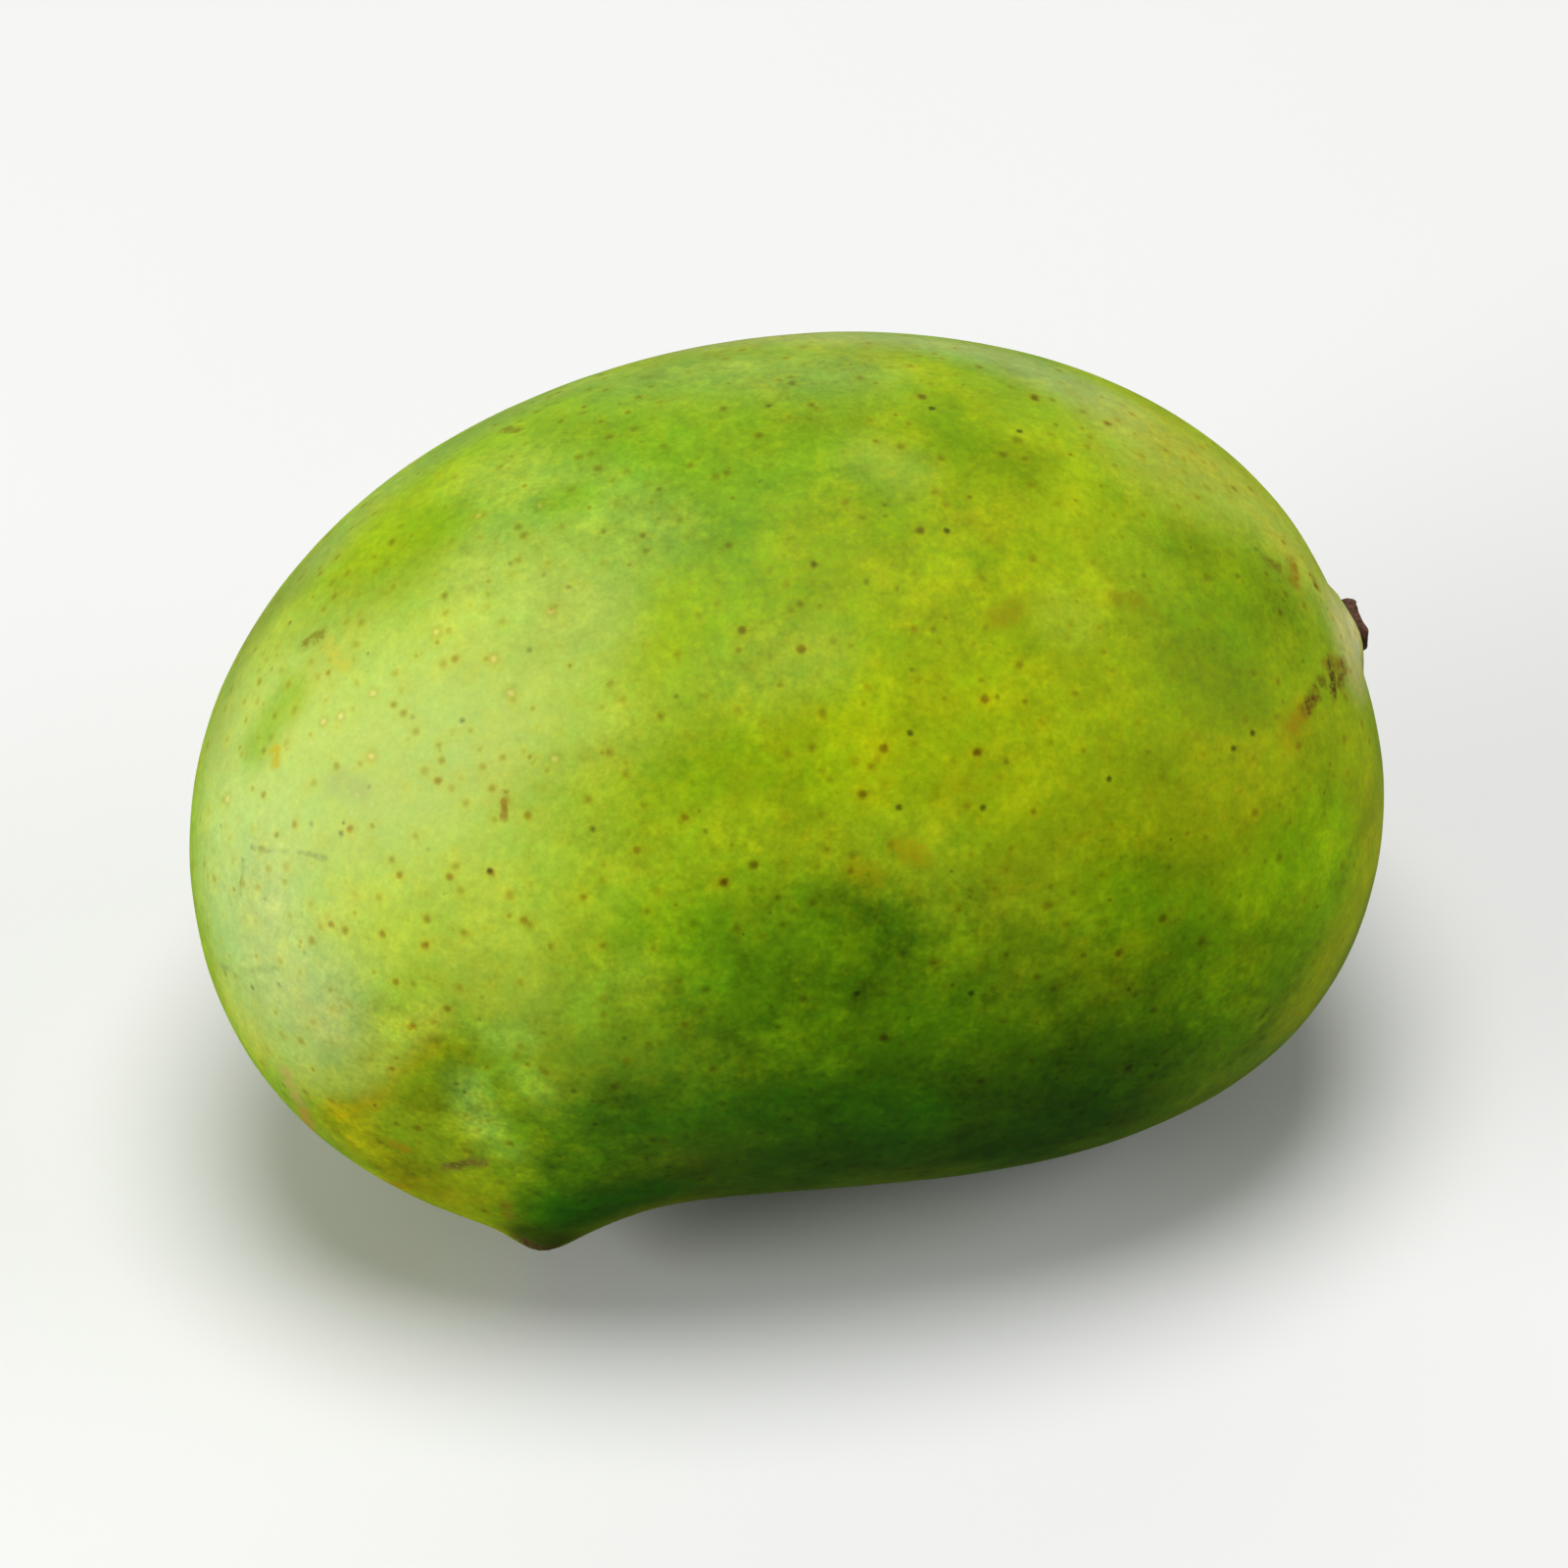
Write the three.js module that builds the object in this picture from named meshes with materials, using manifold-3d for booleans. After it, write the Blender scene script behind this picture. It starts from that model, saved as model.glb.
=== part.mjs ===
// A whole green mango lying on its side, in millimetres, +Z up.
// The fruit's own axes: x along its length to the stem, y to its back, z to the cheek that faces up.
import * as THREE from 'three';
import { mergeVertices } from 'three/addons/utils/BufferGeometryUtils.js';
import Module from 'manifold-3d';

const wasm = await Module();
wasm.setup();

// Fruit: half sizes at mid length, measured from the long axis
const halfLength = 55;
const backHeight = 40.7;
const bellyDepth = 37.4;
const cheekDepth = 35.5;
const axisSag = 2.1; // how far the ends of the long axis droop towards the belly
const backBluntness = 0.07; // extra fullness of the back towards both ends
const bellyBluntness = 0.18;
const cheekBluntness = 0.12;
const bellyShoulder = 0.175; // extra depth of the belly at the stem end, missing at the nose
const cheekShoulder = 0.05;

// Beak: the point on the belly edge, steep towards the stem and drawn out towards the nose
const beakPlace = -28; // along the length, from the middle
const beakHeight = 6.5;
const beakToNose = 40;
const beakToStem = 4.5;
const beakToCheek = 9;
const beakRoundness = 1.05; // how blunt its tip is
const beakLean = THREE.MathUtils.degToRad(12); // towards the nose

// Hollows either side of the beak
const hollowDepth = 1.1;
const hollowPlace = -36;
const hollowFromMiddle = 19;
const hollowReach = 10;

// Stem basin, with a low collar of skin in its middle
const stemAngle = THREE.MathUtils.degToRad(8.5); // from the long axis, towards the back
const basinDepth = 1.8;
const basinReach = 9.5;
const collarFootRadius = 4.8;
const collarFootDepth = 1; // under the skin of the basin
const collarTopRadius = 3.2;
const collarRise = 1.1;

// Stub of the stalk, standing in the collar. Its heights are above the skin of the basin.
const stubTilt = THREE.MathUtils.degToRad(4); // of its axis, from the long axis towards the back
const stubRadius = 2.6;
const stubRise = 2.4;
const stubEdgeDrop = 0.5; // from its highest ring to its outer edge
const stubRingRadius = 2.1;
const stubOutOfRound = 0.05; // share of its radius
const stubRaggedness = 0.2;
const rootRadius = 1.9;
const rootDepth = 3.2;
const craterRadius = 1.6;
const craterFloorRadius = 1.3;
const craterDepth = 1.1;
const plugRadius = 0.7;
const plugTopRadius = 0.5;
const plugHeight = 0.6;
const clearance = 0.3; // between the stub and the fruit

// How it lies
const lean = THREE.MathUtils.degToRad(42); // of the back, away from upright
const stemLift = THREE.MathUtils.degToRad(2); // of the stem end
const flatSpotDepth = 1.4;

// Fineness of the faces
const sidesRound = 72;
const ringsAlong = 46;
const stubSides = 28;

// A closed geometry as a manifold solid, and back
function solidOf(geometry) {
  const bare = geometry.clone();
  bare.deleteAttribute('normal');
  bare.deleteAttribute('uv');
  const merged = mergeVertices(bare, 1e-4);
  return new wasm.Manifold(new wasm.Mesh({
    numProp: 3,
    vertProperties: new Float32Array(merged.attributes.position.array),
    triVerts: new Uint32Array(merged.index.array),
  }));
}

function geometryOf(solid) {
  const { vertProperties, triVerts } = solid.getMesh();
  const geometry = new THREE.BufferGeometry();
  geometry.setAttribute('position', new THREE.BufferAttribute(vertProperties, 3));
  geometry.setIndex(new THREE.BufferAttribute(triVerts, 1));
  geometry.computeVertexNormals();
  return geometry;
}

// The plain oval of the fruit. stem, back and cheek are a unit vector's parts along the fruit's own axes.
function ovalPoint(stem, back, cheek) {
  const swell = (shoulder, bluntness) => 1 + shoulder * stem + bluntness * stem * stem;
  const height = back > 0
    ? backHeight * swell(0, backBluntness)
    : bellyDepth * swell(bellyShoulder, bellyBluntness);
  return new THREE.Vector3(
    halfLength * stem,
    height * back - axisSag * stem * stem,
    cheekDepth * swell(cheekShoulder, cheekBluntness) * cheek,
  );
}

const bell = (distance, reach) => Math.exp(-((distance / reach) ** 2));

// The fruit's skin: the oval with its stem basin, its beak and the hollows beside the beak
function skinPoint(stem, back, cheek) {
  const point = ovalPoint(stem, back, cheek);
  if (stem > 0) {
    const seat = ovalPoint(Math.cos(stemAngle), Math.sin(stemAngle), 0);
    point.x -= basinDepth * bell(Math.hypot(point.y - seat.y, point.z), basinReach);
  }
  const bellySide = Math.max(0, -back);
  const fromBeak = point.x - beakPlace;
  const reach = fromBeak < 0 ? beakToNose : beakToStem;
  const away = Math.hypot(fromBeak / reach, point.z / beakToCheek, beakRoundness) - beakRoundness;
  const lift = beakHeight * Math.exp(-away) * bellySide;
  const fromHollow = Math.hypot(point.x - hollowPlace, Math.abs(point.z) - hollowFromMiddle);
  const sink = hollowDepth * bell(fromHollow, hollowReach) * bellySide;
  point.x -= lift * Math.sin(beakLean);
  point.y += sink - lift * Math.cos(beakLean);
  return point;
}

// A ball of unit radius, poles at the nose and the stem, with each corner moved out to the skin
function fruitGeometry() {
  const geometry = new THREE.SphereGeometry(1, sidesRound, ringsAlong);
  const corners = geometry.attributes.position;
  for (let i = 0; i < corners.count; i++) {
    const skin = skinPoint(corners.getY(i), -corners.getX(i), corners.getZ(i));
    corners.setXYZ(i, skin.x, skin.y, skin.z);
  }
  return geometry;
}

// A shape turned about its own y axis, from a profile of [radius, height] points
function turnedGeometry(profile) {
  return new THREE.LatheGeometry(profile.map(([x, y]) => new THREE.Vector2(x, y)), stubSides);
}

function collarGeometry() {
  return turnedGeometry([
    [0, -collarFootDepth],
    [collarFootRadius, -collarFootDepth],
    [collarTopRadius, collarRise],
    [0, collarRise],
  ]);
}

// The stub: a root, a flare over the collar, and a broken top with a crater and a plug in its middle
function stubGeometry() {
  const flareUnderside = collarRise + clearance;
  const edgeHeight = stubRise - stubEdgeDrop;
  const craterFloor = stubRise - craterDepth;
  const geometry = turnedGeometry([
    [0, -rootDepth],
    [rootRadius, -rootDepth],
    [rootRadius, flareUnderside],
    [stubRadius, flareUnderside + clearance],
    [stubRadius, edgeHeight],
    [stubRingRadius, stubRise],
    [craterRadius, edgeHeight],
    [craterFloorRadius, craterFloor],
    [plugRadius, craterFloor],
    [plugTopRadius, craterFloor + plugHeight],
    [0, craterFloor + plugHeight],
  ]);
  const corners = geometry.attributes.position;
  for (let i = 0; i < corners.count; i++) {
    const [x, y, z] = [corners.getX(i), corners.getY(i), corners.getZ(i)];
    const angle = Math.atan2(z, x);
    const upTheStub = THREE.MathUtils.smoothstep(y, flareUnderside, stubRise);
    const sideways = 1 + upTheStub * stubOutOfRound * (Math.sin(2 * angle) + Math.sin(5 * angle) / 2);
    const outward = Math.hypot(x, z) / stubRadius;
    const upwards = upTheStub * outward * stubRaggedness * (Math.sin(3 * angle) + Math.sin(7 * angle) / 2);
    corners.setXYZ(i, x * sideways, y + upwards, z * sideways);
  }
  return geometry;
}

const skinMaterial = new THREE.MeshStandardMaterial({ color: 0x86ad33, roughness: 0.45, metalness: 0 });
const stubMaterial = new THREE.MeshStandardMaterial({ color: 0x5a3a26, roughness: 0.85, metalness: 0 });

const lying = new THREE.Group();
lying.rotation.set(Math.PI / 2 - lean, -stemLift, 0, 'YXZ');

// The stub's place: the bottom of the basin, with y along the stub's axis
const stubPlace = new THREE.Group();
stubPlace.position.copy(skinPoint(Math.cos(stemAngle), Math.sin(stemAngle), 0));
stubPlace.rotation.z = stubTilt - Math.PI / 2;
stubPlace.updateMatrix();

// The fruit is set down until its lowest point would be flatSpotDepth under the surface
const wholeFruit = fruitGeometry();
lying.updateMatrixWorld();
const reachDown = new THREE.Box3().setFromBufferAttribute(
  wholeFruit.clone().applyMatrix4(lying.matrixWorld).attributes.position,
);
lying.position.z = -reachDown.min.z - flatSpotDepth;
lying.updateMatrixWorld();

// What is cut from the fruit: the sliver under the surface, and the hole that the stub's root stands in
const under = new THREE.BoxGeometry(4 * halfLength, 4 * halfLength, halfLength);
under.translate(0, 0, -halfLength / 2);
under.applyMatrix4(lying.matrixWorld.clone().invert());

const holeDepth = rootDepth + clearance;
const holeTop = 2 * stubRise;
const hole = new THREE.CylinderGeometry(
  rootRadius + clearance,
  rootRadius + clearance,
  holeDepth + holeTop,
  stubSides,
);
hole.translate(0, (holeTop - holeDepth) / 2, 0);
hole.applyMatrix4(stubPlace.matrix);

// What is added to it: the collar round the hole
const collar = collarGeometry();
collar.applyMatrix4(stubPlace.matrix);

const fruitSolid = solidOf(wholeFruit).add(solidOf(collar)).subtract(solidOf(under)).subtract(solidOf(hole));
const fruit = new THREE.Mesh(geometryOf(fruitSolid), skinMaterial);
fruit.name = 'mango_fruit';

const stub = new THREE.Mesh(stubGeometry(), stubMaterial);
stub.name = 'stem_stub';

stubPlace.add(stub);
lying.add(fruit, stubPlace);

// The origin is on the surface, under the middle of the whole
const mango = new THREE.Group();
mango.add(lying);
mango.updateMatrixWorld(true);
const middle = new THREE.Box3().setFromObject(mango, true).getCenter(new THREE.Vector3());
lying.position.x -= middle.x;
lying.position.y -= middle.y;

export default mango;
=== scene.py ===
# A whole green mango lying on its cheek: a fine skin and a dry stem stub over the fixed frame.
from math import atan2, cos, exp, hypot, pi, radians, sin

import bmesh
import bpy
from mathutils import Matrix, Vector, noise
from mathutils.bvhtree import BVHTree


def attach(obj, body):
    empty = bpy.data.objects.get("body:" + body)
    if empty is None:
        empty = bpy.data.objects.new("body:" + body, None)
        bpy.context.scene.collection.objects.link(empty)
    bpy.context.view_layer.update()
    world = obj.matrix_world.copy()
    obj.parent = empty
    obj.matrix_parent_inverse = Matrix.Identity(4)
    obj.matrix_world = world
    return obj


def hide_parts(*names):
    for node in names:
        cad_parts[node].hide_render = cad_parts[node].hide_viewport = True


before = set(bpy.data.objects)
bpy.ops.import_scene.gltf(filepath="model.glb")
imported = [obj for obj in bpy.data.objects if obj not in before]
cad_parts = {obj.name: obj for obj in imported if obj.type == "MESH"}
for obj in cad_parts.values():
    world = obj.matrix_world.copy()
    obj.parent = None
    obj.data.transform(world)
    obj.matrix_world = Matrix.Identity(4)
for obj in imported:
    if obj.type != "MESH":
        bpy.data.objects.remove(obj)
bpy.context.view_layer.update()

mm = 0.001
samePlace = 1e-6  # corners this close are merged

# How the fruit lies, as the frame has it: its own axes are x to the stem, y to its back, z to the upper cheek
lie = {
    "middle": Vector((-0.15, -0.61, 35.28)) * mm,
    "lean": radians(42),  # of the back, away from upright
    "stemLift": radians(2),
    "stubTilt": radians(4),  # of the stub's axis, from the long axis towards the back
    "stubRootDepth": 3.2 * mm,  # of the frame's stub, under the skin of the basin
}

# The photograph's view. Pixels are those of the 1600 x 1600 photograph.
view = {
    "azimuth": radians(-13.2),
    "elevation": radians(45),
    "distance": 1.0,
    "lensPixels": 5750,  # distance from the lens to the picture, in pixels
    "middlePixel": (786.9, 327.5),  # where the fruit's middle lies in the photograph
    "sidePixels": 820,  # how much of the photograph the picture takes in
    "sensor": 36,
    "farthest": 50,
}


def viewAxes():
    turn, lift = view["azimuth"], view["elevation"]
    back = Vector((sin(turn) * cos(lift), -cos(turn) * cos(lift), sin(lift)))
    right = Vector((cos(turn), sin(turn), 0))
    return right, back.cross(right), back


ownAxes = Matrix.Rotation(-lie["stemLift"], 3, "Y") @ Matrix.Rotation(pi / 2 - lie["lean"], 3, "X")


# Shapes

def mergedCopy(nodeName):
    bm = bmesh.new()
    bm.from_mesh(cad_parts[nodeName].data)
    bmesh.ops.remove_doubles(bm, verts=bm.verts, dist=samePlace)
    return bm


def stubPlace():
    # z runs out along the stub, from the skin of the basin
    tilt = lie["stubTilt"]
    axis = ownAxes @ Vector((cos(tilt), sin(tilt), 0))
    bm = mergedCopy("stem_stub")
    middle = sum((v.co for v in bm.verts), Vector()) / len(bm.verts)
    lowest = min(v.co.dot(axis) for v in bm.verts)
    bm.free()
    seat = middle + axis * (lowest + lie["stubRootDepth"] - middle.dot(axis))
    side = ownAxes @ Vector((0, 0, 1))
    return Matrix((side, axis.cross(side), axis)).transposed().to_4x4(), seat


stubTurn, stubSeat = stubPlace()
toStub = (Matrix.Translation(stubSeat) @ stubTurn).inverted()


def smoothStep(value, low, high):
    share = min(1, max(0, (value - low) / (high - low)))
    return share * share * (3 - 2 * share)


def bell(distance, reach):
    return exp(-((distance / reach) ** 2))


def finishPiece(bm, name, material, node):
    for face in bm.faces:
        face.smooth = True
    mesh = bpy.data.meshes.new(name)
    bm.to_mesh(mesh)
    bm.free()
    piece = bpy.data.objects.new(name, mesh)
    bpy.context.scene.collection.objects.link(piece)
    mesh.materials.append(material)
    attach(piece, "root")
    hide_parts(node)
    print(name, len(mesh.polygons), "faces")


skinShape = {
    "fineness": 7,  # of the ball that is cast on the frame's fruit
    "castFrom": 0.1,  # metres from the middle, well outside the fruit
    "capRadius": 5.6 * mm,  # of the patch that closes the hole of the stub
    "capLaps": 80,
    "laps": 34,  # of smoothing, which takes the facets off
    "pull": 0.5,
    "push": -0.52,
    "collarFoot": 6.6 * mm,
    "collarTop": 2.4 * mm,
    "collarRise": 1.6 * mm,
    "collarWell": (1.1 * mm, 2.1 * mm),  # floor and edge of the well that the stub's root stands in
    "collarLobes": 3,
    "collarWaves": 0.1,  # share of the rise
    "collarCheek": 2.6 * mm,  # how much farther its foot lies out on the upper cheek
    "swellSize": 17 * mm,
    "swellDepth": 0.2 * mm,
    "dimpleSize": 5 * mm,
    "dimpleDepth": 0.07 * mm,
    "flatRim": 4 * mm,  # the swells fade out below this height, towards the flat spot
    "beakPixel": (659, 566),
    "beakOut": (-0.2, -0.98, 0),  # along the fruit's own axes
    "beakReach": 3.2 * mm,
    "beakRise": 1.2 * mm,
    "creasePixels": [(553, 504), (577, 489), (607, 464)],
    "creaseReach": 1.6 * mm,
    "creaseDepth": 0.2 * mm,
}


def castOnFruit(bm):
    solid = mergedCopy("mango_fruit")
    tree = BVHTree.FromBMesh(solid)
    solid.free()
    for v in bm.verts:
        ray = v.co.normalized()
        hit = tree.ray_cast(lie["middle"] + ray * skinShape["castFrom"], -ray)[0]
        v.co = hit


def smoothLaps(bm, verts, laps, factors):
    for lap in range(laps):
        for factor in factors:
            bmesh.ops.smooth_vert(
                bm, verts=verts, factor=factor, use_axis_x=True, use_axis_y=True, use_axis_z=True
            )


def distanceTo(place, path):
    # from a place to a path of straight stretches
    away = []
    for start, end in zip(path, path[1:]):
        along = end - start
        share = min(1, max(0, (place - start).dot(along) / along.length_squared))
        away.append((place - start - along * share).length)
    return min(away)


def makeSkinShape():
    bm = bmesh.new()
    bmesh.ops.create_icosphere(bm, subdivisions=skinShape["fineness"], radius=1)
    castOnFruit(bm)
    cap = []
    for v in bm.verts:
        local = toStub @ v.co
        if local.z > -skinShape["capRadius"] and hypot(local.x, local.y) < skinShape["capRadius"]:
            local.z = 0
            v.co = toStub.inverted() @ local
            cap.append(v)
    smoothLaps(bm, cap, skinShape["capLaps"], [skinShape["pull"]])
    smoothLaps(bm, bm.verts, skinShape["laps"], [skinShape["pull"], skinShape["push"]])
    bm.normal_update()
    find = skinFinder(bm)
    crease = [find(pixel) for pixel in skinShape["creasePixels"]]
    beakTip = find(skinShape["beakPixel"])
    beakOut = ownAxes @ Vector(skinShape["beakOut"])
    for v in bm.verts:
        # slow swells and faint dimples, always inwards, and the crease
        swell = noise.noise(v.co / skinShape["swellSize"]) - 1
        dimple = noise.noise(v.co / skinShape["dimpleSize"]) - 1
        sink = swell * skinShape["swellDepth"] / 2 + dimple * skinShape["dimpleDepth"] / 2
        sink -= skinShape["creaseDepth"] * bell(distanceTo(v.co, crease), skinShape["creaseReach"])
        beak = skinShape["beakRise"] * bell((v.co - beakTip).length, skinShape["beakReach"])
        lifted = smoothStep(v.co.z, 0, skinShape["flatRim"])
        v.co += v.normal * sink * lifted + beakOut * beak
        v.co.z = max(v.co.z, 0)
    # the collar that the stub stands in
    axis = stubTurn.to_3x3() @ Vector((0, 0, 1))
    for v in bm.verts:
        local = toStub @ v.co
        out = hypot(local.x, local.y)
        if local.z > -skinShape["capRadius"]:
            angle = atan2(local.y, local.x)  # from the upper cheek
            wave = 1 + skinShape["collarWaves"] * sin(skinShape["collarLobes"] * angle + 1)
            foot = skinShape["collarFoot"] + skinShape["collarCheek"] * max(0, cos(angle)) ** 2
            rise = 1 - smoothStep(out, skinShape["collarTop"], foot)
            rise *= smoothStep(out, *skinShape["collarWell"])
            v.co += axis * rise * wave * skinShape["collarRise"]
    return bm


# The stub's profile, as distance from its axis and height above the basin's skin, in millimetres
stubShape = {
    "profile": [
        (0, -1), (1.9, -1), (2.1, 0.6), (2.35, 1.0), (2.6, 1.35), (2.6, 1.9), (2.45, 2.33), (2.15, 2.53),
        (1.9, 2.43), (1.6, 1.95), (1.4, 1.4), (1.15, 1.2), (0.8, 1.25), (0.65, 1.65), (0.35, 1.85), (0, 1.9),
    ],
    "sides": 72,
    "radius": 2.6 * mm,
    "raggedFrom": 0.8 * mm,  # heights between which it gets ragged
    "raggedTo": 2.3 * mm,
    "ragged": 0.13 * mm,
    "outOfRound": 0.05,
    "grainSize": 0.9 * mm,
    "grainDepth": 0.16 * mm,
}


def makeStubShape():
    bm = bmesh.new()
    verts = [bm.verts.new((out * mm, 0, height * mm)) for out, height in stubShape["profile"]]
    edges = [bm.edges.new(pair) for pair in zip(verts, verts[1:])]
    bmesh.ops.spin(
        bm, geom=verts + edges, cent=(0, 0, 0), axis=(0, 0, 1), angle=2 * pi,
        steps=stubShape["sides"], use_merge=True,
    )
    bmesh.ops.remove_doubles(bm, verts=bm.verts, dist=samePlace)
    bmesh.ops.recalc_face_normals(bm, faces=bm.faces)
    bmesh.ops.subdivide_edges(bm, edges=bm.edges, cuts=1, use_grid_fill=True)
    bm.normal_update()
    for v in bm.verts:
        angle = atan2(v.co.y, v.co.x)
        out = hypot(v.co.x, v.co.y) / stubShape["radius"]
        up = smoothStep(v.co.z, stubShape["raggedFrom"], stubShape["raggedTo"])
        grain = noise.noise(v.co / stubShape["grainSize"]) * stubShape["grainDepth"]
        wide = 1 + up * stubShape["outOfRound"] * (sin(2 * angle) + sin(5 * angle) / 2)
        high = up * out * stubShape["ragged"] * (sin(3 * angle) + sin(7 * angle) / 2)
        shift = v.normal * (grain - stubShape["grainDepth"] / 2)
        v.co = Vector((v.co.x * wide, v.co.y * wide, v.co.z + high)) + shift
    bmesh.ops.transform(bm, matrix=toStub.inverted(), verts=bm.verts)
    return bm


# Places on the skin

def skinFinder(bm):
    tree = BVHTree.FromBMesh(bm)
    right, up, back = viewAxes()
    eye = lie["middle"] + back * view["distance"]

    def find(place):
        # the skin under a pixel of the photograph, or in a direction along the fruit's own axes
        if len(place) == 3:
            ray = ownAxes @ Vector(place).normalized()
            return tree.ray_cast(lie["middle"] + ray * skinShape["castFrom"], -ray)[0]
        across = place[0] - view["middlePixel"][0]
        down = place[1] - view["middlePixel"][1]
        ray = (right * across - up * down - back * view["lensPixels"]).normalized()
        hit = tree.ray_cast(eye, ray)[0]
        return hit or tree.find_nearest(eye + ray * view["distance"])[0]

    return find


# Node helpers

def feed(tree, socket, value):
    if isinstance(value, bpy.types.NodeSocket):
        tree.links.new(value, socket)
    else:
        socket.default_value = value


def addNode(tree, kind, sockets, **settings):
    made = tree.nodes.new("ShaderNode" + kind)
    for name, value in settings.items():
        setattr(made, name, value)
    for name, value in sockets.items():
        feed(tree, made.inputs[name], value)
    return made


def maths(tree, operation, first, second=0.0, clamp=False):
    sockets = {0: first, 1: second}
    return addNode(tree, "Math", sockets, operation=operation, use_clamp=clamp).outputs[0]


def vectorMaths(tree, operation, first, second=(0, 0, 0)):
    made = addNode(tree, "VectorMath", {0: first, 1: second}, operation=operation)
    single = operation in ("DOT_PRODUCT", "DISTANCE", "LENGTH")
    return made.outputs["Value" if single else "Vector"]


def scaled(tree, vector, scale):
    sockets = {"Vector": vector, "Scale": scale}
    return addNode(tree, "VectorMath", sockets, operation="SCALE").outputs["Vector"]


def ramp(tree, value, low, high, toLow=0.0, toHigh=1.0):
    sockets = {"Value": value, "From Min": low, "From Max": high, "To Min": toLow, "To Max": toHigh}
    return addNode(tree, "MapRange", sockets, interpolation_type="SMOOTHSTEP").outputs[0]


def mixed(tree, share, first, second, blend="MIX"):
    made = addNode(tree, "Mix", {0: share, 6: first, 7: second}, data_type="RGBA", blend_type=blend)
    return made.outputs[2]


def cloud(tree, position, size, detail=2.0, roughness=0.5):
    sockets = {"Vector": position, "Scale": 1 / size, "Detail": detail, "Roughness": roughness}
    return addNode(tree, "TexNoise", sockets)


def warped(tree, position, size, reach):
    # the position, pushed about by a cloud, so that outlines wander
    wander = vectorMaths(tree, "SUBTRACT", cloud(tree, position, size, 3.0).outputs[1], (0.5, 0.5, 0.5))
    return vectorMaths(tree, "ADD", position, scaled(tree, wander, reach))


def newGroup(name, inputs, outputs):
    tree = bpy.data.node_groups.new(name, "ShaderNodeTree")
    for inOut, sockets in (("INPUT", inputs), ("OUTPUT", outputs)):
        for label, kind in sockets.items():
            tree.interface.new_socket(name=label, in_out=inOut, socket_type="NodeSocket" + kind)
    given = tree.nodes.new("NodeGroupInput").outputs
    result = tree.nodes.new("NodeGroupOutput").inputs
    return tree, given, result


def placeGroup(tree, group, sockets):
    made = tree.nodes.new("ShaderNodeGroup")
    made.node_tree = group
    for name, value in sockets.items():
        feed(tree, made.inputs[name], value)
    return made.outputs


markLook = {
    "edge": 2.0,  # where a mark ends, in reaches from its line
    "breaks": 3.6,  # how strongly the grain breaks it up
    "clearBelow": 0.15,
    "fullAbove": 1.2,
}


def makeMarkGroup():
    # a spot or streak along the line from Start to End, broken up by the Grain of the surface
    tree, given, result = newGroup(
        "raggedMark",
        {"Position": "Vector", "Start": "Vector", "End": "Vector", "Reach": "Float", "Grain": "Float"},
        {"Mask": "Float"},
    )
    along = vectorMaths(tree, "SUBTRACT", given["End"], given["Start"])
    fromStart = vectorMaths(tree, "SUBTRACT", given["Position"], given["Start"])
    forward = vectorMaths(tree, "DOT_PRODUCT", fromStart, along)
    whole = vectorMaths(tree, "DOT_PRODUCT", along, along)
    share = maths(tree, "DIVIDE", forward, whole, clamp=True)
    away = vectorMaths(tree, "DISTANCE", fromStart, scaled(tree, along, share))
    near = ramp(tree, maths(tree, "DIVIDE", away, given["Reach"]), 0.0, markLook["edge"], 1.0, 0.0)
    breaks = maths(tree, "MULTIPLY", maths(tree, "SUBTRACT", given["Grain"], 0.5), markLook["breaks"])
    ragged = maths(tree, "MULTIPLY", near, maths(tree, "ADD", breaks, 1.0))
    mask = ramp(tree, ragged, markLook["clearBelow"], markLook["fullAbove"])
    tree.links.new(mask, result["Mask"])
    return tree


speckLook = {
    "smallest": 0.5,  # share of the full size
    "faintest": 0.5,
    "core": 0.2,  # share of the size that is evenly dark, in specks that stand one by one
    "halo": 2.6,  # width of the changed skin round a speck, in sizes of the speck
}


def makeSpeckGroup():
    # scattered specks of up to Size, with a halo round each and a chance number for each
    tree, given, result = newGroup(
        "skinSpecks",
        {"Position": "Vector", "Spacing": "Float", "Size": "Float", "Amount": "Float"},
        {"Speck": "Float", "Halo": "Float", "Chance": "Float"},
    )
    perMetre = maths(tree, "DIVIDE", 1.0, given["Spacing"])
    cells = addNode(tree, "TexVoronoi", {"Vector": given["Position"], "Scale": perMetre})
    away = maths(tree, "MULTIPLY", cells.outputs["Distance"], given["Spacing"])
    parts = addNode(tree, "SeparateColor", {0: cells.outputs["Color"]}).outputs
    there = maths(tree, "LESS_THAN", parts[0], given["Amount"])
    bigness = ramp(tree, parts[1], 0.0, 1.0, speckLook["smallest"], 1.0)
    radius = maths(tree, "MULTIPLY", given["Size"], bigness)
    wide = maths(tree, "MULTIPLY", radius, speckLook["halo"])
    speck = maths(tree, "MULTIPLY", there, ramp(tree, away, 0.0, radius, 1.0, 0.0))
    halo = maths(tree, "MULTIPLY", there, ramp(tree, away, 0.0, wide, 1.0, 0.0))
    tree.links.new(speck, result["Speck"])
    tree.links.new(halo, result["Halo"])
    tree.links.new(parts[2], result["Chance"])
    return tree


# Skin finish

def tone(path, reach, colour, share, mottle):
    # a place on the path is a pixel of the photograph, or a direction along the fruit's own axes
    return {"path": path, "reach": reach * mm, "colour": Vector(colour), "share": share, "mottle": mottle}


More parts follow.
